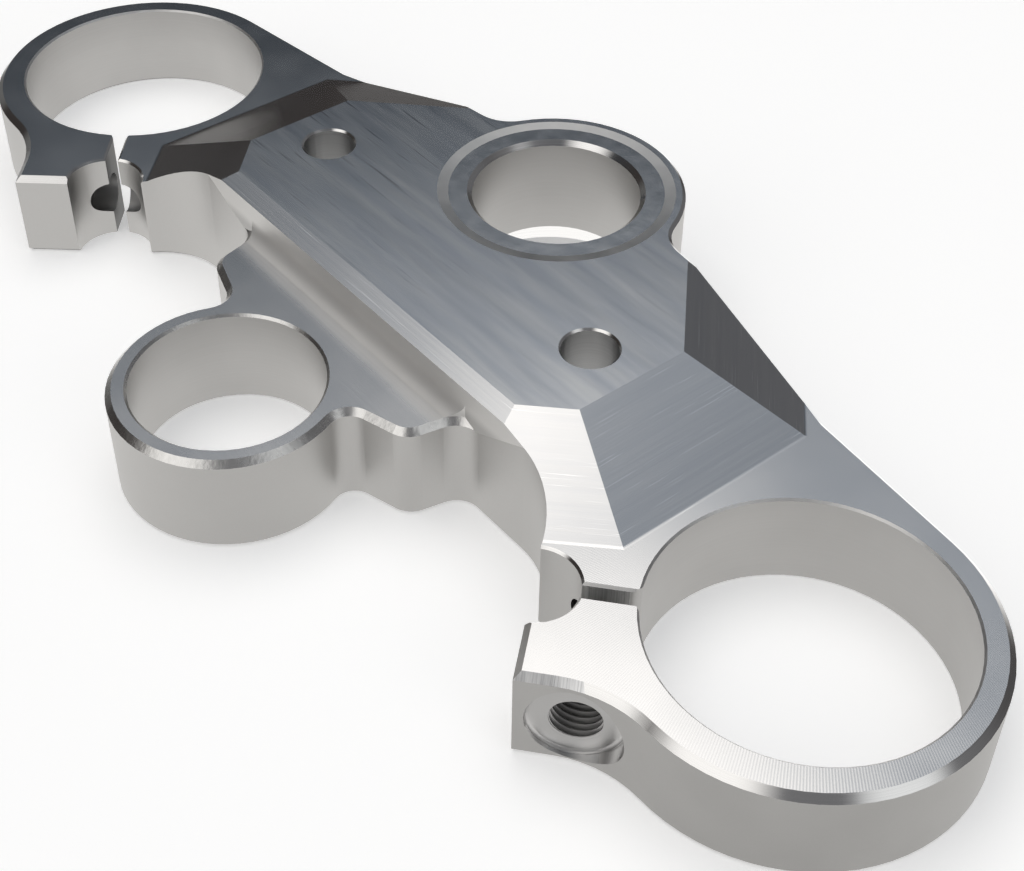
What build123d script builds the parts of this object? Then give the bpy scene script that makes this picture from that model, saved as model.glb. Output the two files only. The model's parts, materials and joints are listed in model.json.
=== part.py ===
from build123d import *
import os
from math import cos, radians, sin, sqrt, tan

# Top triple clamp of a motorcycle, machined from one aluminium billet, in millimetres.
# +Z is up along the steering stem, +X runs from fork to fork and -Y is the front.
# The origin lies on the stem axis in the flat underside.

# Fork clamps
fork_spacing = 210.0            # between the two fork axes
fork_lead = 35.7                # fork axes ahead of the stem axis
fork_bore = 54.0                # diameter
clamp_wall = 6.1                # mean ring wall around the fork
clamp_lead = 0.7                # outer ring ahead of the fork axis, so its front wall is thicker
clamp_inset = 0.8               # outer ring nearer the stem, so its inner wall is thicker
clamp_height = 19.5
clamp_chamfer = 1.2             # outer rim, above
foot_chamfer = 0.8              # outer rim of the whole underside
bore_chamfer = 0.4

# Split and pinch lug of each clamp
slot_angle = 41.0               # split against the fork line, degrees
slot_width = 2.7
slot_corner = 2.0               # rounding where the split opens into the bore
slot_chamfer = 0.45             # upper edges of the split and the scallop
lug_reach = 44.5                # fork axis to the end of the lug, along the split
lug_side = 19.1                 # fork axis to the outer side of the lug, across the split
lug_blend = 22.0                # concave radius from the lug side into the ring
scallop_radius = 8.4            # half-round relief at the mouth of the split, at its upper rim
bolt_reach = 34.5               # fork axis to the pinch bolt, along the split
bolt_height = 9.3
thread_diameter = 10.0          # tapped hole in the outer lug
thread_depth = 11.0             # below the spot face
spot_diameter = 16.4            # spot face around the tapped hole
spot_depth = 1.2                # below the outer side of the lug
spot_corner = 0.7
bolt_bore = 8.5                 # plain hole from the thread across the split
bolt_bore_depth = 22.0          # beyond the middle of the split

# Central body
plateau_height = 29.0
facet_slope = 22.9              # of every facet around the plateau, degrees
plateau_front = 47.0            # stem axis to the plateau's front edge
plateau_half_width = 52.45      # stem axis to the plateau's side edges
front_corner_reach = 64.7       # stem axis to the 45 degree front corner edges
rear_corner_reach = 26.9        # stem axis to the 45 degree rear corner edges
facet_cove = 1.5                # concave radius at the foot of the facets
front_wall = 50.5               # stem axis to the front wall
front_pocket = 17.0             # concave radius from the front wall to the scallop
rear_taper = 6.6                # rear wall against the fork line, degrees

# Steering stem boss
stem_bore = 34.0
boss_radius = 26.0
boss_blend = 8.0                # concave radius from the boss into the rear wall
boss_chamfer = 0.7
seat_rim_radius = 24.0          # shallow conical seat around the bore
seat_floor_radius = 21.8
seat_depth = 0.35
stem_chamfer = 1.0
stem_recess_radius = 22.0       # counterbore in the underside
stem_recess_depth = 6.7

# Riser holes through the plateau
riser_spacing = 82.7
riser_lead = 27.0               # ahead of the stem axis
riser_bore = 10.6
riser_chamfer = 0.4

# Lock ring on the front lug
lock_lead = 78.4                # ring axis ahead of the stem axis
lock_bore = 36.5
lock_wall = 4.0
lock_height = 21.0
lock_chamfer = 0.5              # inner rim
lock_top_chamfer = 1.2          # outer rim
lug_root_half_width = 34.6      # lug plate at the front wall
lug_tip_half_width = 32.2       # lug plate at its outer corners
lug_tip_lead = 61.6             # outer corners ahead of the stem axis
lug_flank_slope = 17.0          # flank from each corner towards the ring, degrees
lug_tip_round = 5.0
lug_notch = 4.0                 # concave radius between flank and ring
lug_root_round = 5.0            # concave radius between lug plate and front wall, in plan
lug_cove = 3.0                  # concave radius where the plate meets the front wall

# How far a cutter or a joined form reaches past the face that it works on
overlap = 1.0
tolerance = 1e-3

# Sizes that follow
fork_radius = fork_bore / 2
ring_radius = fork_radius + clamp_wall
lock_radius = lock_bore / 2
lock_ring_radius = lock_radius + lock_wall
stem_radius = stem_bore / 2
facet_run = (plateau_height - clamp_height) / tan(radians(facet_slope))
fork_axis = Vector(fork_spacing / 2, -fork_lead)
ring_axis = fork_axis - Vector(clamp_inset, clamp_lead)
lock_axis = Vector(0, -lock_lead)

# Directions along the right-hand split, away from the fork, and across it towards the outer lug
along_split = Vector(-cos(radians(slot_angle)), -sin(radians(slot_angle)))
across_split = Vector(sin(radians(slot_angle)), -cos(radians(slot_angle)))
split_frame = Location((fork_axis.X, fork_axis.Y, 0), (0, 0, 180 + slot_angle))

# The rear wall touches the ring here and rises towards the boss
rear_tangent = ring_axis + Vector(sin(radians(rear_taper)), cos(radians(rear_taper))) * ring_radius

standing = (Align.CENTER, Align.CENTER, Align.MIN)


def split_point(along, across):
    """Plan point given along and across the right-hand split."""
    return fork_axis + along_split * along + across_split * across


def rear_wall_y(x):
    """Plan position of the right-hand rear wall."""
    return rear_tangent.Y + (rear_tangent.X - x) * tan(radians(rear_taper))


def both_sides(points):
    """A closed plan outline from its right-hand points, front to rear."""
    mirrored = [(-x, y) for x, y in reversed(points) if abs(x) > tolerance]
    return make_face(Polyline(*points, *mirrored, close=True))


def round_corner(sketch, near, radius):
    """Round the sketch corner nearest to a plan point."""
    corner = sketch.vertices().sort_by_distance(Vector(near[0], near[1]))[0]
    return fillet(corner, radius)


def top_chamfer(block, width):
    """Break every edge around the top of a block."""
    return chamfer(block.faces().sort_by(Axis.Z)[-1].edges(), width)


def facet_block(heading, reach):
    """Everything under one facet, which leaves the plateau at a reach from the stem axis."""
    section = make_face(Polyline(
        (-fork_spacing, 0),
        (reach + facet_run, 0),
        (reach + facet_run, clamp_height),
        (reach, plateau_height),
        (-fork_spacing, plateau_height),
        close=True,
    ))
    return Rot(0, 0, heading) * extrude(Plane.XZ * section, fork_spacing, both=True)


def roof():
    """Plateau with its sloping facets, carried straight down to the underside."""
    block = facet_block(-90, plateau_front)
    for side in (0, 180):
        block = block & facet_block(side, plateau_half_width)
    for front_corner in (-45, -135):
        block = block & facet_block(front_corner, front_corner_reach)
    for rear_corner in (45, 135):
        block = block & facet_block(rear_corner, rear_corner_reach)
    return block


def pocket_centre():
    """Centre of the arc that runs from the front wall to the inner scallop edge."""
    ridge = split_point(lug_reach, -scallop_radius)
    centre_y = -front_wall - front_pocket
    reach = sqrt(front_pocket ** 2 - (ridge.Y - centre_y) ** 2)
    return Vector(ridge.X - reach, centre_y)


def body_plan():
    """Plan of the central body; its outer ends lie inside the scallops, the bores and the rings."""
    rear_diagonal = sqrt(2) * (rear_corner_reach + facet_run)
    slope = tan(radians(rear_taper))
    foot_x = (rear_diagonal - rear_tangent.Y - rear_tangent.X * slope) / (1 - slope)
    pocket = pocket_centre()
    ridge = split_point(lug_reach, -scallop_radius)
    jaw = split_point(lug_reach, -scallop_radius / 2)
    throat = split_point(fork_radius - slot_corner, 0.0)
    crown = fork_axis + Vector(0, fork_radius - slot_corner)
    right = [
        (0.0, -front_wall),
        (pocket.X, -front_wall),
        (ridge.X, ridge.Y),
        (jaw.X, jaw.Y),
        (throat.X, throat.Y),
        (crown.X, crown.Y),
        (foot_x, rear_wall_y(foot_x)),
        (0.0, rear_wall_y(0.0)),
    ]
    plan = both_sides(right) + Circle(boss_radius)
    meeting_x = sqrt(boss_radius ** 2 - rear_wall_y(boss_radius) ** 2)
    for side in (1, -1):
        plan = round_corner(plan, (side * meeting_x, rear_wall_y(meeting_x)), boss_blend)
        plan -= Pos(side * pocket.X, pocket.Y) * Circle(front_pocket)
    return plan


def clamp_ring():
    """Right-hand ring with its pinch lug, before the fork bore and the split are cut."""
    lug_inner = -scallop_radius / 2 - clamp_chamfer
    lug_place = Location((lug_reach / 2, (lug_side + lug_inner) / 2, 0))
    lug = split_frame * lug_place * Rectangle(lug_reach, lug_side - lug_inner)
    outline = Pos(ring_axis.X, ring_axis.Y) * Circle(ring_radius) + lug
    root = split_point(sqrt(ring_radius ** 2 - lug_side ** 2), lug_side)
    outline = round_corner(outline, (root.X, root.Y), lug_blend)
    tail = make_face(Polyline(
        (rear_tangent.X, rear_tangent.Y),
        (plateau_half_width, rear_wall_y(plateau_half_width)),
        (plateau_half_width, fork_axis.Y),
        (ring_axis.X, ring_axis.Y),
        close=True,
    ))
    return top_chamfer(extrude(outline + tail, clamp_height), clamp_chamfer)


def split_cutter():
    """Fork bore, split and half-round scallop of the right-hand clamp."""
    slot = split_frame * Location((lug_reach / 2, 0, 0)) * Rectangle(lug_reach, slot_width)
    plan = Pos(fork_axis.X, fork_axis.Y) * Circle(fork_radius) + slot
    mouth = sqrt(fork_radius ** 2 - (slot_width / 2) ** 2)
    for side in (1, -1):
        corner = split_point(mouth, side * slot_width / 2)
        plan = round_corner(plan, (corner.X, corner.Y), slot_corner)
    plan += split_frame * Location((lug_reach, 0, 0)) * Circle(scallop_radius - slot_chamfer)
    return Pos(0, 0, -overlap) * extrude(plan, clamp_height + 2 * overlap)


def split_rim_cutter():
    """Wedge and cone that break the upper edges of the right-hand split and its scallop."""
    half = slot_width / 2
    reach = half + slot_chamfer + overlap
    section = make_face(Polyline(
        (-half, clamp_height - slot_chamfer),
        (half, clamp_height - slot_chamfer),
        (reach, clamp_height + overlap),
        (-reach, clamp_height + overlap),
        close=True,
    ))
    wedge = extrude(Plane.YZ * section, lug_reach)
    cone = Pos(lug_reach, 0, 0) * rim_cutter(scallop_radius - slot_chamfer, slot_chamfer, clamp_height, 0)
    return split_frame * (wedge + cone)


def pinch_cutter():
    """Tapped hole with its spot face, and the plain hole that runs on across the split."""
    bolt_line = split_frame * Location((bolt_reach, 0, bolt_height), (-90, 0, 0))
    floor = lug_side - spot_depth
    spot = Cylinder(spot_diameter / 2, lug_blend, align=standing)
    spot = Pos(0, 0, floor) * fillet(spot.faces().sort_by(Axis.Z)[0].edges(), spot_corner)
    tapped = Pos(0, 0, floor - thread_depth) * Cylinder(thread_diameter / 2, lug_side, align=standing)
    plain = Pos(0, 0, -bolt_bore_depth) * Cylinder(bolt_bore / 2, bolt_bore_depth + floor, align=standing)
    return bolt_line * (spot + tapped + plain)


def rim_cutter(radius, width, height, turn):
    """Conical cutter that breaks a bore's rim at a height, turned over for a lower rim."""
    cone = Cone(radius, radius + width + overlap, width + overlap, align=standing)
    return Pos(0, 0, height) * Rot(turn, 0, 0) * Pos(0, 0, -width) * cone


def bore_cutter(radius, width, height):
    """Bore through a given height, with both rims broken."""
    bore = Pos(0, 0, -overlap) * Cylinder(radius, height + 2 * overlap, align=standing)
    return bore + rim_cutter(radius, width, height, 0) + rim_cutter(radius, width, 0.0, 180)


def stem_cutter():
    """Stem bore with its conical seat above and its counterbore below."""
    floor = plateau_height - seat_depth
    profile = make_face(Polyline(
        (0, -overlap),
        (stem_recess_radius, -overlap),
        (stem_recess_radius, stem_recess_depth),
        (stem_radius, stem_recess_depth),
        (stem_radius, floor - stem_chamfer),
        (stem_radius + stem_chamfer, floor),
        (seat_floor_radius, floor),
        (seat_rim_radius, plateau_height),
        (seat_rim_radius, plateau_height + overlap),
        (0, plateau_height + overlap),
        close=True,
    ))
    return revolve(Plane.XZ * profile, Axis.Z)


def flank_end():
    """Where the straight flank of the lug plate runs into the lock ring, on the right."""
    slope = radians(lug_flank_slope)
    to_ring = Vector(-lug_tip_half_width, lug_tip_lead - lock_lead)
    travel = to_ring.X * -cos(slope) + to_ring.Y * -sin(slope)
    miss = to_ring.X ** 2 + to_ring.Y ** 2 - travel ** 2
    length = travel - sqrt(lock_ring_radius ** 2 - miss)
    return (lug_tip_half_width - length * cos(slope), -lug_tip_lead - length * sin(slope))


def lug_plan():
    """Plan of the front lug: a lobed plate that ends in the lock ring."""
    tip = (lug_tip_half_width, -lug_tip_lead)
    root = (lug_root_half_width, -front_wall)
    skirt = lug_root_half_width + 2 * lug_root_round
    right = [
        (0.0, -lug_tip_lead - lug_tip_half_width * tan(radians(lug_flank_slope))),
        tip,
        root,
        (skirt, -front_wall),
        (skirt, -riser_lead),
        (0.0, -riser_lead),
    ]
    plan = both_sides(right) + Pos(lock_axis.X, lock_axis.Y) * Circle(lock_ring_radius)
    for corner, radius in ((flank_end(), lug_notch), (tip, lug_tip_round), (root, lug_root_round)):
        for side in (1, -1):
            plan = round_corner(plan, (side * corner[0], corner[1]), radius)
    return plan


def front_lug():
    """Front lug, before the lock bore is cut."""
    return top_chamfer(extrude(lug_plan(), lock_height), lock_top_chamfer)


def lug_root():
    """Concave fillet where the lug plate meets the front wall, inside the plate's top chamfer."""
    foot = Vector(-front_wall - lug_cove, lock_height)
    head = Vector(-front_wall, lock_height + lug_cove)
    bulge = (1 - 1 / sqrt(2)) * lug_cove
    section = make_face([
        ThreePointArc(foot, Vector(head.X - bulge, foot.Y + bulge), head),
        Polyline(
            head,
            head + Vector(overlap, 0),
            Vector(head.X + overlap, foot.Y - overlap),
            foot - Vector(0, overlap),
            foot,
        ),
    ])
    bar = extrude(Plane.YZ * section, lug_root_half_width * 2, both=True)
    return bar & extrude(offset(lug_plan(), -lock_top_chamfer), lock_height + 2 * lug_cove)


def lies_on_facet_foot(edge):
    """True for the edges where the facets run out on the clamp tops."""
    middle = edge.position_at(0.5)
    x = abs(middle.X)
    level = all(abs(v.Z - clamp_height) < tolerance for v in edge.vertices())
    outside = max(
        x - plateau_half_width,
        (x - middle.Y) / sqrt(2) - front_corner_reach,
        (x + middle.Y) / sqrt(2) - rear_corner_reach,
    )
    return level and abs(outside - facet_run) < tolerance


def lies_on_boss_rim(edge):
    """True for the edges around the top of the boss."""
    level = all(abs(v.Z - plateau_height) < tolerance for v in edge.vertices())
    return level and edge.geom_type == GeomType.CIRCLE


def billet():
    """The solid outside form, before any hole is cut."""
    plan = body_plan()
    body = extrude(plan, clamp_height) + (extrude(plan, plateau_height) & roof())
    body = chamfer(body.edges().filter_by(lies_on_boss_rim), boss_chamfer)
    ring = clamp_ring()
    body = body + ring + mirror(ring, about=Plane.YZ)
    body = fillet(body.edges().filter_by(lies_on_facet_foot), facet_cove)
    body = body + front_lug() + lug_root()
    return chamfer(body.faces().sort_by(Axis.Z)[0].outer_wire().edges(), foot_chamfer)


def holes():
    """Every hole and split of the clamp."""
    fork = Pos(fork_axis.X, fork_axis.Y) * bore_cutter(fork_radius, bore_chamfer, clamp_height)
    riser = Pos(riser_spacing / 2, -riser_lead) * bore_cutter(riser_bore / 2, riser_chamfer, plateau_height)
    lock = Pos(lock_axis.X, lock_axis.Y) * bore_cutter(lock_radius, lock_chamfer, lock_height)
    right = [split_cutter(), split_rim_cutter(), fork, pinch_cutter(), riser]
    return [stem_cutter(), lock] + right + [mirror(cutter, about=Plane.YZ) for cutter in right]


def triple_clamp():
    """The finished clamp."""
    body = billet()
    for cutter in holes():
        body = body - cutter
    return body


if __name__ == "__main__":
    os.makedirs("parts", exist_ok=True)
    export_step(triple_clamp(), "parts/triple_clamp.step")
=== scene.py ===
import json
from collections import namedtuple
from math import cos, hypot, pi, radians, sin

import bpy
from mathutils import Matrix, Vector


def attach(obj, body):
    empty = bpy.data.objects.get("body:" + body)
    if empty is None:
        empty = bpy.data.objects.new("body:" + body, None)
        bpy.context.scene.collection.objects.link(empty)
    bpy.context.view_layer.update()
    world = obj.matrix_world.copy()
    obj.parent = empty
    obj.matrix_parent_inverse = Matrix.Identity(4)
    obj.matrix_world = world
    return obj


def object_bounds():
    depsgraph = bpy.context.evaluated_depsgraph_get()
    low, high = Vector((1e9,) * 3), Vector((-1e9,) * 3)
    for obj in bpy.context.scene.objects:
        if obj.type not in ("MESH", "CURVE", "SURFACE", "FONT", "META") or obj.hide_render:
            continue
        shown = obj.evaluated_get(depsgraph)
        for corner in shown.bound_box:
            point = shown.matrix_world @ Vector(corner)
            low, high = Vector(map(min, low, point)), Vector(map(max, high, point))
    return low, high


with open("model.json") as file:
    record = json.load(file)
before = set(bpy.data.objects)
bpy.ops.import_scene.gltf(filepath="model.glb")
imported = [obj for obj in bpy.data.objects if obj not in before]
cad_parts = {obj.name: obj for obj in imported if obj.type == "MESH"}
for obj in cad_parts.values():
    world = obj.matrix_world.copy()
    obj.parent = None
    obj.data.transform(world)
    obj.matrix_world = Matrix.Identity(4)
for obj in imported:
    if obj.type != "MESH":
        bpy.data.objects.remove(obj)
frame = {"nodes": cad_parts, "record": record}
cad_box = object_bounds()

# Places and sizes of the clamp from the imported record, in millimetres
MM = 0.001
clamp = frame["nodes"]["triple_clamp"]
mounts = {mount["name"]: mount for mount in frame["record"]["mounts"]}


def place(name):
    return Vector(mounts[name]["pos_m"]) / MM


def radius_of(name):
    return mounts[name]["dims"]["r_mm"]


def length_of(name):
    return mounts[name]["dims"]["length_mm"]


FORK = place("right_fork_clamp")
FORK_RADIUS = radius_of("right_fork_clamp")
CLAMP_TOP = 2 * FORK.z
LOCK = place("lock_ring_bore")
LOCK_RADIUS = radius_of("lock_ring_bore")
LOCK_TOP = 2 * LOCK.z
STEM = place("stem_bore")
STEM_RADIUS = radius_of("stem_bore")
RECESS_RADIUS = radius_of("stem_recess")
RECESS_TOP = length_of("stem_recess")
RISER = place("right_riser_hole")
RISER_RADIUS = radius_of("right_riser_hole")
PLATEAU_TOP = place("riser_seat").z
PINCH = place("right_pinch_thread")
PINCH_AXIS = Vector(mounts["right_pinch_thread"]["axis"])
THREAD_RADIUS = radius_of("right_pinch_thread")
THREAD_LENGTH = length_of("right_pinch_thread")
SPLIT_ALONG = Vector((PINCH_AXIS.y, -PINCH_AXIS.x, 0))

# Sizes that the record leaves out, in millimetres
SEAT_RADIUS = 24.0
SEAT_DEPTH = 0.35
FRONT_WALL = -50.5
COVE_RADIUS = 3.0
SPLIT_HALF_WIDTH = 1.35
SPOT_RADIUS = 8.2
SPOT_CORNER = 0.7
SPOT_DEPTH = 1.2
PLAIN_RADIUS = 4.25
PLAIN_LENGTH = 34.0

# Camera, in the photograph's frame
FRAME_WIDTH = 1024
FRAME_HEIGHT = 871
FOCAL_PIXELS = 1708.8
CENTRE_X = 479.1
CENTRE_Y = 339.9
CAMERA_AZIMUTH = radians(51.79)
CAMERA_ELEVATION = radians(40.64)
CAMERA_PLACE = Vector((210.98, -185.86, 229.68)) * MM
SENSOR_WIDTH = 36.0
CLIP_START = 0.01


def make_camera():
    data = bpy.data.cameras.new("camera")
    data.sensor_fit = "HORIZONTAL"
    data.sensor_width = SENSOR_WIDTH
    data.lens = FOCAL_PIXELS / FRAME_WIDTH * SENSOR_WIDTH
    data.shift_x = (FRAME_WIDTH / 2 - CENTRE_X) / FRAME_WIDTH
    data.shift_y = (CENTRE_Y - FRAME_HEIGHT / 2) / FRAME_WIDTH
    data.clip_start = CLIP_START
    camera = bpy.data.objects.new("camera", data)
    bpy.context.scene.collection.objects.link(camera)
    level = cos(CAMERA_ELEVATION)
    back = Vector((sin(CAMERA_AZIMUTH) * level, -cos(CAMERA_AZIMUTH) * level, sin(CAMERA_ELEVATION)))
    camera.location = CAMERA_PLACE
    camera.rotation_euler = (-back).to_track_quat("-Z", "Y").to_euler()
    bpy.context.scene.camera = camera


class Term:
    """A shader value. Sums written with it become math nodes."""

    def __init__(self, tree, socket):
        self.tree = tree
        self.socket = socket

    def math(self, operation, *others):
        node = self.tree.nodes.new("ShaderNodeMath")
        node.operation = operation
        for value, socket in zip((self,) + others, node.inputs):
            feed(self.tree, value, socket)
        return Term(self.tree, node.outputs[0])

    def __add__(self, other):
        return self.math("ADD", other)

    def __sub__(self, other):
        return self.math("SUBTRACT", other)

    def __mul__(self, other):
        return self.math("MULTIPLY", other)

    def __truediv__(self, other):
        return self.math("DIVIDE", other)

    def step(self, low, high):
        """Smooth rise from 0 at low to 1 at high."""
        node = self.tree.nodes.new("ShaderNodeMapRange")
        node.interpolation_type = "SMOOTHSTEP"
        feed(self.tree, self, node.inputs["Value"])
        node.inputs["From Min"].default_value = low
        node.inputs["From Max"].default_value = high
        return Term(self.tree, node.outputs["Result"])

    def between(self, low, high):
        """Low where this value is 0, high where it is 1."""
        return self * (high - low) + low


def feed(tree, value, socket):
    """Link a term to a socket, or set the socket's own number or colour."""
    if isinstance(value, Term):
        tree.links.new(value.socket, socket)
    else:
        socket.default_value = value


def separate(tree, vector):
    """The three parts of a vector socket."""
    node = tree.nodes.new("ShaderNodeSeparateXYZ")
    tree.links.new(vector, node.inputs[0])
    return [Term(tree, socket) for socket in node.outputs]


def length(first, second):
    return (first * first + second * second).math("SQRT")


def colour_mix(tree, amount, low, high):
    """Colour between low and high."""
    node = tree.nodes.new("ShaderNodeMix")
    node.data_type = "RGBA"
    feed(tree, amount, node.inputs["Factor"])
    colours = [socket for socket in node.inputs if socket.type == "RGBA"]
    feed(tree, low, colours[0])
    feed(tree, high, colours[1])
    return Term(tree, next(socket for socket in node.outputs if socket.type == "RGBA"))


# Studio: a soft box in the ceiling, smaller ones in front and on the right, dark walls and pale ground
def heading(azimuth, elevation):
    """Unit vector from the part, the azimuth taken from +X towards +Y, in degrees."""
    level = cos(radians(elevation))
    return Vector((cos(radians(azimuth)) * level, sin(radians(azimuth)) * level, sin(radians(elevation))))


# A glow is full within its inner angle of a heading and fades out at its outer one, in degrees
Glow = namedtuple("Glow", "towards inner outer colour")

WALL_COLOUR = (0.040, 0.035, 0.033, 1)
RIGHT_FILL = Glow(heading(-15, 15), inner=30, outer=100, colour=(0.170, 0.170, 0.175, 1))
BACK_FILL = Glow(heading(95, 20), inner=15, outer=40, colour=(0.130, 0.130, 0.135, 1))
LEFT_FILL = Glow(heading(-175, -8), inner=8, outer=26, colour=(0.130, 0.130, 0.128, 1))
CEILING = Glow(heading(153, 72), inner=40, outer=58, colour=(0.035, 0.043, 0.053, 1))
FRONT_BOX = Glow(heading(-86, 38), inner=10, outer=31, colour=(1.15, 1.13, 1.10, 1))
RIGHT_BOX = Glow(heading(8, 30), inner=5, outer=25, colour=(0.86, 0.87, 0.87, 1))

# The ceiling's soft box and the light that it throws around it, on a ceiling of height 1
LOWEST_RISE = 0.03
BOX_COLOUR = (1.55, 1.51, 1.46, 1)
BOX_LEFT = (-0.84, -0.60)
BOX_RIGHT = (0.16, -0.04)
BOX_FRONT = (-0.60, -0.35)
BOX_BACK = (0.57, 0.45)
BOX_SLANT = 0.27
HALO_COLOUR = (0.36, 0.39, 0.43, 1)
HALO_X = -0.35
HALO_Y = 0.35
HALO_EDGE = 1.22
HALO_CORE = 0.50

# The ground begins and is full at these rises of a direction. The part's own shadow lies straight below.
GROUND_COLOUR = (1.22, 1.21, 1.19, 1)
GROUND_FAR = -0.20
GROUND_NEAR = -0.48
FRONT_FAR = -0.02
FRONT_NEAR = -0.30
SHADOW_EDGE = -0.62
SHADOW_CORE = -0.90
SHADOW_COLOUR = (0.29, 0.288, 0.282, 1)
FRONT_GROUND = Glow(heading(-35, -10), inner=60, outer=105, colour=GROUND_COLOUR)


def glow_amount(tree, direction, glow):
    node = tree.nodes.new("ShaderNodeVectorMath")
    node.operation = "DOT_PRODUCT"
    tree.links.new(direction, node.inputs[0])
    node.inputs[1].default_value = glow.towards
    return Term(tree, node.outputs["Value"]).step(cos(radians(glow.outer)), cos(radians(glow.inner)))


def ceiling_box(x, y):
    """1 inside the soft box, with soft edges."""
    slanted = y + x * BOX_SLANT
    return x.step(*BOX_LEFT) * x.step(*BOX_RIGHT) * y.step(*BOX_FRONT) * slanted.step(*BOX_BACK)


def ceiling_halo(x, y):
    """Light that the soft box throws on the ceiling around it."""
    return length(x - HALO_X, y - HALO_Y).step(HALO_EDGE, HALO_CORE)


def make_world():
    world = bpy.data.worlds.new("studio")
    bpy.context.scene.world = world
    world.use_nodes = True
    tree = world.node_tree
    direction = tree.nodes.new("ShaderNodeTexCoord").outputs["Generated"]
    x, y, rise = separate(tree, direction)
    height = rise.math("MAXIMUM", LOWEST_RISE)
    ceiling_x = x / height
    ceiling_y = y / height
    sky = WALL_COLOUR
    for glow in (RIGHT_FILL, BACK_FILL, LEFT_FILL, CEILING):
        sky = colour_mix(tree, glow_amount(tree, direction, glow), sky, glow.colour)
    sky = colour_mix(tree, ceiling_halo(ceiling_x, ceiling_y), sky, HALO_COLOUR)
    sky = colour_mix(tree, ceiling_box(ceiling_x, ceiling_y), sky, BOX_COLOUR)
    for glow in (FRONT_BOX, RIGHT_BOX):
        sky = colour_mix(tree, glow_amount(tree, direction, glow), sky, glow.colour)
    ground = colour_mix(tree, rise.step(SHADOW_EDGE, SHADOW_CORE), GROUND_COLOUR, SHADOW_COLOUR)
    in_front = glow_amount(tree, direction, FRONT_GROUND)
    sky = colour_mix(tree, rise.step(GROUND_FAR, GROUND_NEAR), sky, ground)
    sky = colour_mix(tree, in_front * rise.step(FRONT_FAR, FRONT_NEAR), sky, ground)
    tree.links.new(sky.socket, tree.nodes["Background"].inputs["Color"])


# Floor and its lamp, in metres
FLOOR_SIZE = 60.0
FLOOR_GAP = 0.00005
FLOOR_COLOUR = (0.93, 0.93, 0.93, 1)
FLOOR_ROUGHNESS = 0.9
FLOOR_SHINE = 0.05
FLOOR_GLOW = 0.385
LAMP_HEIGHT = 2.2
LAMP_SIZE = 3.5
LAMP_POWER = 10.0


def make_floor():
    """Pale floor that glows a little. The metal mirrors the ground of the studio instead of it."""
    mesh = bpy.data.meshes.new("floor")
    corners = [(-FLOOR_SIZE, -FLOOR_SIZE, 0), (FLOOR_SIZE, -FLOOR_SIZE, 0)]
    corners += [(FLOOR_SIZE, FLOOR_SIZE, 0), (-FLOOR_SIZE, FLOOR_SIZE, 0)]
    mesh.from_pydata(corners, [], [(0, 1, 2, 3)])
    floor = bpy.data.objects.new("floor", mesh)
    bpy.context.scene.collection.objects.link(floor)
    floor.location.z = cad_box[0].z - FLOOR_GAP
    paint = bpy.data.materials.new("floor_paper")
    paint.use_nodes = True
    shader = paint.node_tree.nodes["Principled BSDF"]
    shader.inputs["Base Color"].default_value = FLOOR_COLOUR
    shader.inputs["Roughness"].default_value = FLOOR_ROUGHNESS
    shader.inputs["Specular IOR Level"].default_value = FLOOR_SHINE
    shader.inputs["Emission Color"].default_value = FLOOR_COLOUR
    shader.inputs["Emission Strength"].default_value = FLOOR_GLOW
    mesh.materials.append(paint)
    floor.visible_glossy = False


def make_lamp():
    """Broad soft light for the floor. The metal mirrors the soft boxes of the studio instead."""
    data = bpy.data.lights.new("lamp", "AREA")
    data.shape = "DISK"
    data.size = LAMP_SIZE
    data.energy = LAMP_POWER
    lamp = bpy.data.objects.new("lamp", data)
    bpy.context.scene.collection.objects.link(lamp)
    lamp.location.z = LAMP_HEIGHT
    lamp.visible_glossy = False


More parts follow.
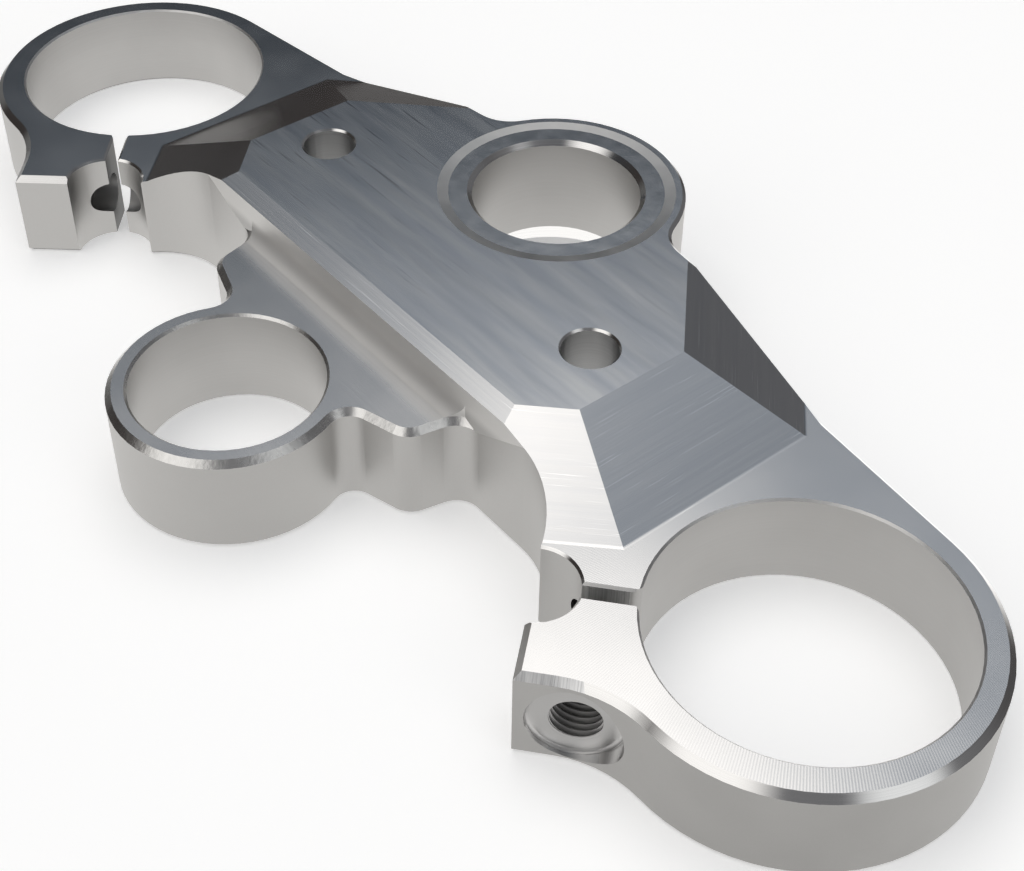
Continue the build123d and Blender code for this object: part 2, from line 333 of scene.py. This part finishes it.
# Finishes of the metal. Sizes of their cells and heights of their relief are in millimetres.
class Paint:
    """An aluminium finish."""

    def __init__(self, name):
        self.material = bpy.data.materials.new(name)
        self.material.use_nodes = True
        self.tree = self.material.node_tree
        self.shader = self.tree.nodes["Principled BSDF"]
        self.shader.inputs["Metallic"].default_value = 1.0
        coordinates = self.tree.nodes.new("ShaderNodeTexCoord")
        self.x, self.y, self.z = [part / MM for part in separate(self.tree, coordinates.outputs["Object"])]

    def noise(self, x, y, z, detail=2.0):
        """Cloudy value about 0.5, one cell per unit of the three coordinates."""
        join = self.tree.nodes.new("ShaderNodeCombineXYZ")
        for value, socket in zip((x, y, z), join.inputs):
            feed(self.tree, value, socket)
        node = self.tree.nodes.new("ShaderNodeTexNoise")
        node.inputs["Scale"].default_value = 1.0
        node.inputs["Detail"].default_value = detail
        self.tree.links.new(join.outputs[0], node.inputs["Vector"])
        return Term(self.tree, node.outputs["Fac"])

    def cells(self, x_size, y_size, z_size, detail=2.0):
        """Noise with cells of a given size along each axis."""
        return self.noise(self.x / x_size, self.y / y_size, self.z / z_size, detail)

    def flat_cells(self, x_size, y_size, layer=0.0, detail=2.0):
        """Noise for a level face. Layers differ from one another."""
        return self.noise(self.x / x_size, self.y / y_size, layer, detail)

    def grain(self, size, detail=2.0):
        """Noise with cells of one size."""
        return self.cells(size, size, size, detail)

    def about(self, axis):
        """Distance and angle about an upright axis, mirrored onto the right half."""
        across = self.x.math("ABSOLUTE") - axis.x
        ahead = self.y - axis.y
        return length(across, ahead), ahead.math("ARCTAN2", across)

    def from_pinch_axis(self):
        """Distance from the axis of the pinch bolt, mirrored onto the right half."""
        across = self.x.math("ABSOLUTE") - PINCH.x
        ahead = self.y - PINCH.y
        return length(ahead * PINCH_AXIS.x - across * PINCH_AXIS.y, self.z - PINCH.z)

    def along_split(self):
        """Place along the split, mirrored onto the right half."""
        return self.x.math("ABSOLUTE") * PINCH_AXIS.y - self.y * PINCH_AXIS.x

    def shade(self, amount, dark, light):
        """Colour from dark to light."""
        return colour_mix(self.tree, amount, dark, light)

    def cover(self, colour, amount, mark):
        """Colour with marks of another colour over it."""
        return colour_mix(self.tree, amount, colour, mark)

    def finish(self, colour, roughness, relief):
        feed(self.tree, colour, self.shader.inputs["Base Color"])
        feed(self.tree, roughness, self.shader.inputs["Roughness"])
        bump = self.tree.nodes.new("ShaderNodeBump")
        bump.inputs["Distance"].default_value = MM
        feed(self.tree, relief, bump.inputs["Height"])
        self.tree.links.new(bump.outputs["Normal"], self.shader.inputs["Normal"])
        return self.material


def blasted_wall():
    """Fine blasted side walls, matte and a little warm."""
    paint = Paint("blasted_wall")
    cloud = paint.grain(14.0, detail=3.0)
    speck = paint.grain(0.16)
    tint = cloud * 0.6 + speck * 0.4
    colour = paint.shade(tint, dark=(0.472, 0.465, 0.456, 1), light=(0.605, 0.598, 0.587, 1))
    return paint.finish(colour, roughness=cloud.between(0.40, 0.50), relief=speck * 0.006)


def turned_bore():
    """Bored inside walls, matte with faint rings of the boring tool."""
    paint = Paint("turned_bore")
    ring = paint.cells(90.0, 90.0, 0.22)
    speck = paint.grain(0.18)
    cloud = paint.grain(16.0)
    tint = cloud * 0.5 + ring * 0.5
    colour = paint.shade(tint, dark=(0.45, 0.443, 0.434, 1), light=(0.60, 0.592, 0.582, 1))
    relief = speck * 0.004 + ring * 0.006
    return paint.finish(colour, ring.between(0.40, 0.54), relief)


def reamed_hole():
    """Riser holes, reamed smooth."""
    paint = Paint("reamed_hole")
    ring = paint.cells(60.0, 60.0, 0.3)
    colour = paint.shade(ring, dark=(0.70, 0.70, 0.70, 1), light=(0.84, 0.84, 0.84, 1))
    return paint.finish(colour, roughness=ring.between(0.28, 0.38), relief=ring * 0.003)


STREAK_LAYER = 7.0
SWELL_LAYER = 3.0
WORN_START = 20.0
WORN_FULL = -45.0


def milled_plateau():
    """Flat top, milled in long passes from fork to fork, with dark streaks, strongest on the left."""
    paint = Paint("milled_plateau")
    line = paint.flat_cells(55.0, 0.45, detail=3.0)
    patch = paint.flat_cells(30.0, 4.0, detail=4.0)
    swell = paint.flat_cells(50.0, 7.0, layer=SWELL_LAYER)
    streak = paint.flat_cells(16.0, 0.7, layer=STREAK_LAYER).step(0.58, 0.80)
    worn = paint.x.step(WORN_START, WORN_FULL).between(0.1, 1.0)
    speck = paint.grain(0.25)
    colour = paint.shade(patch, dark=(0.66, 0.68, 0.73, 1), light=(0.89, 0.88, 0.85, 1))
    colour = paint.cover(colour, streak * worn, mark=(0.36, 0.36, 0.37, 1))
    roughness = patch * 0.16 + line * 0.06 + 0.07
    relief = line * 0.0006 + swell * 0.06 + speck * 0.0003
    return paint.finish(colour, roughness, relief)


SCRATCH_LENGTH = 14.0
SCRATCH_WIDTH = 0.07
SCRATCH_SHIFT = 40.0


def milled_facet():
    """Sloping facets, cut in level steps that leave fine lines, with a few bright scratches."""
    paint = Paint("milled_facet")
    line = paint.cells(40.0, 40.0, 0.11, detail=3.0)
    band = paint.cells(60.0, 60.0, 0.8)
    level = paint.z / SCRATCH_WIDTH + SCRATCH_SHIFT
    scratch = paint.noise(paint.x / SCRATCH_LENGTH, paint.y / SCRATCH_LENGTH, level, detail=1.0)
    smudge = paint.grain(22.0, detail=4.0)
    tint = line * 0.5 + band * 0.5
    colour = paint.shade(tint, dark=(0.62, 0.63, 0.655, 1), light=(0.80, 0.795, 0.785, 1))
    colour = paint.cover(colour, scratch.step(0.66, 0.80), mark=(0.97, 0.97, 0.97, 1))
    roughness = smudge * 0.12 + line * 0.08 + 0.12
    relief = line * 0.002 + band * 0.004
    return paint.finish(colour, roughness, relief)


RIDGE_CENTRE = FORK + Vector((-20.0, 22.3, 0.0))
RIDGE_PITCH = 0.47
RIDGE_DISTANCE = 60.0
RIDGE_COUNT = round(2 * pi * RIDGE_DISTANCE / RIDGE_PITCH)
RIDGE_WANDER = 1.2
RIDGE_START = (30.0, 44.0)
RIDGE_END = (46.0, 33.0)


def ridged_ring():
    """Tops of the fork rings and their lugs, with shallow feed ridges that fan out over the ring."""
    paint = Paint("ridged_ring")
    distance, angle = paint.about(RIDGE_CENTRE)
    wander = paint.grain(6.0) * RIDGE_WANDER
    from_fork = paint.about(FORK)[0]
    wave = (angle * RIDGE_COUNT + wander).math("SINE")
    ridge = wave * distance.step(*RIDGE_START) * from_fork.step(*RIDGE_END)
    cloud = paint.grain(12.0, detail=3.0)
    speck = paint.grain(0.22)
    tint = ridge * 0.14 + cloud * 0.5 + speck * 0.3 + 0.1
    colour = paint.shade(tint, dark=(0.66, 0.66, 0.665, 1), light=(0.80, 0.80, 0.80, 1))
    relief = ridge * 0.0011 + speck * 0.0012
    return paint.finish(colour, cloud.between(0.13, 0.23), relief)


PLATE_SOFT = -58.0


def milled_plate():
    """Top of the front lug and the lock ring, softer beside the cove."""
    paint = Paint("milled_plate")
    streak = paint.flat_cells(30.0, 0.4, detail=3.0)
    smudge = paint.grain(15.0, detail=4.0)
    speck = paint.grain(0.22)
    tint = streak * 0.5 + smudge * 0.5
    colour = paint.shade(tint, dark=(0.57, 0.568, 0.568, 1), light=(0.73, 0.727, 0.722, 1))
    beside_cove = paint.y.step(PLATE_SOFT, FRONT_WALL - COVE_RADIUS)
    roughness = smudge * 0.14 + beside_cove * 0.2 + 0.14
    relief = streak * 0.003 + speck * 0.001
    return paint.finish(colour, roughness, relief)


def smooth_cove():
    """Front wall of the plateau and the hollow at its foot, swept by a ball cutter."""
    paint = Paint("smooth_cove")
    streak = paint.cells(45.0, 0.35, 0.35, detail=3.0)
    smudge = paint.grain(18.0, detail=3.0)
    # Painted shade: the colour darkens towards the foot of the hollow, where shade falls in the crease
    rise = paint.z.step(LOCK_TOP, LOCK_TOP + COVE_RADIUS)
    tint = rise * 0.7 + smudge * 0.3
    colour = paint.shade(tint, dark=(0.66, 0.655, 0.645, 1), light=(0.95, 0.94, 0.925, 1))
    return paint.finish(colour, roughness=smudge.between(0.62, 0.74), relief=streak * 0.004)


def bright_chamfer():
    """Chamfers swept along the edges, left bright with fine lines of equal height."""
    paint = Paint("bright_chamfer")
    line = paint.cells(30.0, 30.0, 0.09, detail=3.0)
    wave = paint.cells(5.0, 5.0, 9.0, detail=1.0)
    colour = paint.shade(line, dark=(0.72, 0.715, 0.71, 1), light=(0.92, 0.915, 0.91, 1))
    relief = line * 0.0015 + wave * 0.02
    return paint.finish(colour, line.between(0.08, 0.18), relief)


def broken_edge():
    """Edges of the fork bores, broken by hand and left satin."""
    paint = Paint("broken_edge")
    wave = paint.cells(3.0, 3.0, 9.0)
    colour = paint.shade(wave, dark=(0.66, 0.655, 0.65, 1), light=(0.90, 0.895, 0.89, 1))
    return paint.finish(colour, roughness=wave.between(0.40, 0.50), relief=wave * 0.02)


def rippled_chamfer():
    """Chamfers of the lock ring and its lug, left in short ripples by the turning cutter."""
    paint = Paint("rippled_chamfer")
    ripple = paint.cells(0.9, 0.9, 6.0)
    patch = paint.grain(4.0)
    tint = ripple * 0.6 + patch * 0.4
    colour = paint.shade(tint, dark=(0.62, 0.615, 0.605, 1), light=(0.90, 0.895, 0.885, 1))
    return paint.finish(colour, roughness=patch.between(0.22, 0.32), relief=ripple * 0.035)


MARK_WIDTH = 0.28
MARK_LENGTH = 5.0


def cross_cut_chamfer():
    """Chamfers along the sides of the lugs, with small marks across them."""
    paint = Paint("cross_cut_chamfer")
    mark = paint.noise(paint.along_split() / MARK_WIDTH, paint.z / MARK_LENGTH, 0.0)
    cloud = paint.grain(5.0)
    tint = (mark * 0.75 + cloud * 0.25).step(0.28, 0.72)
    colour = paint.shade(tint, dark=(0.56, 0.565, 0.575, 1), light=(0.97, 0.975, 0.98, 1))
    return paint.finish(colour, roughness=mark.between(0.24, 0.36), relief=mark * 0.012)


SEAT_RING_WIDTH = 0.15
SEAT_RING_ARC = 3.0


def turned_seat():
    """Shallow seat around the stem bore, turned in fine rings and smudged."""
    paint = Paint("turned_seat")
    distance, angle = paint.about(STEM)
    ring = paint.noise(distance / SEAT_RING_WIDTH, angle / SEAT_RING_ARC, 0.0, detail=3.0)
    smudge = paint.grain(4.0, detail=4.0)
    tint = ring * 0.3 + smudge * 0.7
    colour = paint.shade(tint, dark=(0.52, 0.525, 0.54, 1), light=(0.86, 0.86, 0.855, 1))
    relief = ring * 0.0008 + smudge * 0.03
    return paint.finish(colour, smudge.between(0.09, 0.25), relief)


def seat_rim():
    """Low slope between the seat and the plateau, worn soft."""
    paint = Paint("seat_rim")
    smudge = paint.grain(5.0, detail=4.0)
    colour = paint.shade(smudge, dark=(0.44, 0.445, 0.45, 1), light=(0.64, 0.64, 0.635, 1))
    return paint.finish(colour, roughness=smudge.between(0.38, 0.50), relief=smudge * 0.03)


SPOT_RING_WIDTH = 0.11


def spot_face():
    """Spot face under the pinch bolt, turned in fine rings about the bolt's axis."""
    paint = Paint("spot_face")
    ring = paint.noise(paint.from_pinch_axis() / SPOT_RING_WIDTH, 0.0, 0.0, detail=3.0)
    smudge = paint.grain(5.0, detail=3.0)
    tint = ring * 0.6 + smudge * 0.4
    colour = paint.shade(tint, dark=(0.50, 0.495, 0.49, 1), light=(0.66, 0.655, 0.65, 1))
    return paint.finish(colour, roughness=smudge.between(0.38, 0.52), relief=ring * 0.004)


SAW_LINE_WIDTH = 0.22
SAW_LINE_LENGTH = 40.0
LEFT_DARK_BORDER = 10.0


def sawn_slot():
    """Walls of the splits, with upright saw lines. The left one is turned nearly black."""
    paint = Paint("sawn_slot")
    line = paint.noise(paint.along_split() / SAW_LINE_WIDTH, paint.z / SAW_LINE_LENGTH, 0.0, detail=1.0)
    colour = paint.shade(line.step(0.3, 0.7), dark=(0.70, 0.70, 0.695, 1), light=(0.93, 0.93, 0.925, 1))
    # The walls of the left split are turned nearly black, fading in across the middle
    on_left = paint.x.step(LEFT_DARK_BORDER, -LEFT_DARK_BORDER)
    colour = paint.cover(colour, on_left, mark=(0.055, 0.055, 0.054, 1))
    return paint.finish(colour, roughness=line.between(0.36, 0.46), relief=line * 0.012)


ARC_BEND = 0.004
ARC_PITCH = 0.7
ARC_LENGTH = 60.0


def fly_cut_underside():
    """Underside, faced with one wide cutter that leaves shallow arcs."""
    paint = Paint("fly_cut_underside")
    arc = paint.x + paint.y * paint.y * ARC_BEND
    line = paint.noise(arc / ARC_PITCH, paint.y / ARC_LENGTH, 0.0)
    smudge = paint.grain(24.0, detail=3.0)
    tint = (line * 0.7 + smudge * 0.3).step(0.30, 0.70)
    colour = paint.shade(tint, dark=(0.44, 0.44, 0.445, 1), light=(0.74, 0.74, 0.745, 1))
    roughness = smudge * 0.16 + line * 0.10 + 0.20
    return paint.finish(colour, roughness, relief=line * 0.012)


# Painted shade in the thread: none this far in from the root, full this far in, in millimetres
FLANK_TOP = 0.62
FLANK_FOOT = 0.25


def tapped_thread():
    """Ridges of the thread and the plain hole behind them, with painted shade that darkens the roots."""
    paint = Paint("tapped_thread")
    # Painted shade: darker from the crests towards the roots and the hole wall, where shade falls between
    # the ridges
    depth = paint.from_pinch_axis().step(THREAD_RADIUS - FLANK_TOP, THREAD_RADIUS - FLANK_FOOT)
    colour = paint.cover((0.52, 0.515, 0.51, 1), depth, mark=(0.42, 0.417, 0.413, 1))
    return paint.finish(colour, roughness=depth.between(0.50, 0.60), relief=paint.grain(0.3) * 0.004)


FINISHES = (
    blasted_wall, turned_bore, reamed_hole, milled_plateau, milled_facet, ridged_ring,
    milled_plate, smooth_cove, bright_chamfer, broken_edge, rippled_chamfer, cross_cut_chamfer,
    turned_seat, seat_rim, spot_face, sawn_slot, fly_cut_underside, tapped_thread,
)

# Which finish each face of the clamp has, by its centre in millimetres and its normal.
# Faces of the left half are mirrored onto the right half.
LEVEL = 0.995
FACET_LOW = 0.85
CHAMFER_LOW = 0.35
FACING_FRONT = -0.4
FACING_SIDE = 0.6
FACING_BOLT = 0.3
NEAR = 0.12
BORE_NEAR = 0.3
FRONT_PART = -40.0
COVE_END = 46.0
COVE_FOOT = 0.002
LUG_START = 33.0
LUG_INSIDE = 10.0


def about_pinch_axis(centre):
    """Place along the pinch bolt's axis, from the middle of the thread, and distance from the axis."""
    offset = centre - PINCH
    depth = offset.dot(PINCH_AXIS)
    return depth, (offset - PINCH_AXIS * depth).length


def on_spot_face(centre, normal):
    depth, from_axis = about_pinch_axis(centre)
    floor = THREAD_LENGTH / 2
    sunk = floor - NEAR < depth < floor + SPOT_DEPTH - NEAR
    return sunk and from_axis < SPOT_RADIUS + SPOT_CORNER and normal.dot(PINCH_AXIS) > FACING_BOLT


def in_pinch_hole(centre):
    depth, from_axis = about_pinch_axis(centre)
    tapped = from_axis < THREAD_RADIUS + NEAR and abs(depth) < THREAD_LENGTH / 2 - NEAR
    return tapped or (from_axis < PLAIN_RADIUS + NEAR and -PLAIN_LENGTH < depth < 0)


def in_split(centre, normal):
    from_middle = abs((centre - FORK).dot(PINCH_AXIS))
    return from_middle < SPLIT_HALF_WIDTH + NEAR and abs(normal.dot(PINCH_AXIS)) > LEVEL


def on_lock_lug(centre):
    """Edges of the lock ring and of the lug that carries it."""
    return CLAMP_TOP < centre.z < LOCK_TOP and centre.x < COVE_END and centre.y < FRONT_WALL


def on_lug_side(centre, normal):
    """Straight outer run of a lug beside its split, past the ring."""
    along = (centre - FORK).dot(SPLIT_ALONG)
    outside = (centre - FORK).dot(PINCH_AXIS) > LUG_INSIDE
    return outside and along > LUG_START and centre.z < CLAMP_TOP and normal.dot(PINCH_AXIS) > FACING_SIDE


def on_seat(centre):
    """The turned seat around the stem bore and the slope around it."""
    high = centre.z > PLATEAU_TOP - SEAT_DEPTH - NEAR
    return high and hypot(centre.x, centre.y) < SEAT_RADIUS + NEAR


def in_cove(centre, normal):
    """Hollow at the foot of the plateau's front wall."""
    beside = centre.x < COVE_END and FRONT_WALL - COVE_RADIUS - NEAR < centre.y < FRONT_WALL + NEAR
    return beside and COVE_FOOT < centre.z - LOCK_TOP < COVE_RADIUS and normal.y < 0


def on_front_wall(centre, normal):
    """Front wall of the plateau, above the lock lug's plate."""
    ahead = centre.y < FRONT_PART and normal.y < FACING_FRONT
    return ahead and centre.z > LOCK_TOP - NEAR and normal.z < FACET_LOW


def near_wall(centre, axis, radius):
    """Whether a place lies at the wall of an upright bore, or at its rim."""
    return abs(hypot(centre.x - axis.x, centre.y - axis.y) - radius) < BORE_NEAR


def level_finish(centre):
    """Finish of a face that looks up, by its height, or None for one at another height."""
    if centre.z > PLATEAU_TOP - NEAR:
        return "milled_plateau"
    if abs(centre.z - LOCK_TOP) < NEAR:
        return "milled_plate"
    if abs(centre.z - CLAMP_TOP) < NEAR:
        return "ridged_ring"
    return None


def chamfer_finish(centre, normal):
    if on_lug_side(centre, normal):
        return "cross_cut_chamfer"
    if on_lock_lug(centre):
        return "rippled_chamfer"
    if near_wall(centre, FORK, FORK_RADIUS):
        return "broken_edge"
    return "bright_chamfer"


def wall_finish(centre):
    if near_wall(centre, RISER, RISER_RADIUS):
        return "reamed_hole"
    if near_wall(centre, STEM, RECESS_RADIUS) and centre.z < RECESS_TOP:
        return "bright_chamfer"
    bores = ((FORK, FORK_RADIUS), (LOCK, LOCK_RADIUS), (STEM, STEM_RADIUS))
    if any(near_wall(centre, axis, radius) for axis, radius in bores):
        return "turned_bore"
    return "blasted_wall"


def finish_name(polygon):
    side = 1 if polygon.center.x >= 0 else -1
    centre = Vector((side * polygon.center.x, polygon.center.y, polygon.center.z)) / MM
    normal = Vector((side * polygon.normal.x, polygon.normal.y, polygon.normal.z))
    if normal.z < -LEVEL:
        return "fly_cut_underside"
    if in_pinch_hole(centre):
        return "tapped_thread"
    if on_spot_face(centre, normal):
        return "spot_face"
    if in_split(centre, normal):
        return "sawn_slot"
    if on_seat(centre):
        return "turned_seat" if normal.z > LEVEL else "seat_rim"
    if in_cove(centre, normal):
        return "smooth_cove"
    if normal.z > LEVEL and level_finish(centre):
        return level_finish(centre)
    if on_front_wall(centre, normal):
        return "smooth_cove"
    if normal.z > FACET_LOW:
        return "milled_facet"
    if normal.z > CHAMFER_LOW:
        return chamfer_finish(centre, normal)
    return wall_finish(centre)


def dress_clamp():
    clamp.data.materials.clear()
    slots = {}
    for make in FINISHES:
        slots[make.__name__] = len(clamp.data.materials)
        clamp.data.materials.append(make())
    for polygon in clamp.data.polygons:
        polygon.material_index = slots[finish_name(polygon)]


# Thread ridges in the two pinch holes, in millimetres, with a thin ring at each thread's mouth
THREAD_PITCH = 1.25
THREAD_STEPS = 48
THREAD_CREST = 0.5413 * THREAD_PITCH
THREAD_ROOT_WIDTH = 0.86 * THREAD_PITCH
THREAD_CREST_WIDTH = 0.16 * THREAD_PITCH
THREAD_BURY = 0.04
THREAD_RUN_IN = 0.75
MOUTH_RADIUS = 4.45
MOUTH_DEPTH = 0.3
MOUTH_SINK = 0.01
MOUTH_STEPS = 96
SECTION_CORNERS = 4


def ridge_section(grow, limit):
    """Corners of a ridge that is cut off at a limit: distance from the axis and place along it."""
    root = THREAD_RADIUS + THREAD_BURY
    wide = THREAD_ROOT_WIDTH / 2
    narrow = THREAD_CREST_WIDTH / 2
    emerged = max(0, (limit + wide) / (wide - narrow))
    crest = root - (THREAD_CREST + THREAD_BURY) * min(1, grow, emerged)
    low_side = [(root, -wide), (crest, min(-narrow, limit))]
    high_side = [(crest, min(narrow, limit)), (root, min(wide, limit))]
    return low_side + high_side


def mouth_section():
    """Corners of the ring at the thread's mouth: distance from the axis and place along it."""
    root = THREAD_RADIUS + THREAD_BURY
    top = THREAD_LENGTH / 2 - MOUTH_SINK
    low = top - MOUTH_DEPTH
    return [(root, low), (MOUTH_RADIUS, low), (MOUTH_RADIUS, top), (root, top)]


def pinch_point(word, angle, distance, along):
    """Point at an angle about a pinch thread's axis, a distance from it and a place along it."""
    axis = Vector(mounts[f"{word}_pinch_thread"]["axis"])
    across = axis.cross(Vector((0, 0, 1)))
    rise = axis.cross(across)
    outward = across * cos(angle) + rise * sin(angle)
    return (place(f"{word}_pinch_thread") + outward * distance + axis * along) * MM


def ridge_points(word):
    """Helical ridge from the bottom of the tapped length to the spot face."""
    first = -THREAD_LENGTH / 2 + THREAD_ROOT_WIDTH / 2 + THREAD_BURY
    mouth = THREAD_LENGTH / 2 - THREAD_BURY
    turns = (mouth + THREAD_ROOT_WIDTH / 2 - first) / THREAD_PITCH
    steps = round(turns * THREAD_STEPS)
    points = []
    for step in range(steps + 1):
        turn = step / steps * turns
        centre = first + turn * THREAD_PITCH
        for distance, along in ridge_section(turn / THREAD_RUN_IN, mouth - centre):
            points.append(pinch_point(word, 2 * pi * turn, distance, centre + along))
    return points


def mouth_points(word):
    """Ring that closes the ridge's last turn."""
    points = []
    for step in range(MOUTH_STEPS):
        for distance, along in mouth_section():
            points.append(pinch_point(word, 2 * pi * step / MOUTH_STEPS, distance, along))
    return points


def skin(start, count, closed):
    """Faces from each section to the next, for sections whose corners are numbered from a start."""
    faces = []
    for section in range(count if closed else count - 1):
        here = start + SECTION_CORNERS * section
        ahead = start + SECTION_CORNERS * ((section + 1) % count)
        for corner in range(SECTION_CORNERS):
            follow = (corner + 1) % SECTION_CORNERS
            faces.append((here + corner, here + follow, ahead + follow, ahead + corner))
    return faces


def make_thread(word, paint, mouth_paint):
    ridge = ridge_points(word)
    mouth = mouth_points(word)
    mouth_start = len(ridge)
    faces = skin(0, mouth_start // SECTION_CORNERS, closed=False)
    faces += skin(mouth_start, MOUTH_STEPS, closed=True)
    mesh = bpy.data.meshes.new(f"{word}_pinch_thread")
    mesh.from_pydata(ridge + mouth, [], faces)
    mesh.materials.append(paint)
    mesh.materials.append(mouth_paint)
    for polygon in mesh.polygons:
        polygon.material_index = int(min(polygon.vertices) >= mouth_start)
    mesh.validate()
    piece = bpy.data.objects.new(f"{word}_pinch_thread", mesh)
    bpy.context.scene.collection.objects.link(piece)
    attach(piece, "root")


make_camera()
make_world()
make_floor()
make_lamp()
dress_clamp()
for word in ("right", "left"):
    make_thread(word, bpy.data.materials["tapped_thread"], bpy.data.materials["spot_face"])
bpy.context.scene.view_settings.view_transform = "Standard"
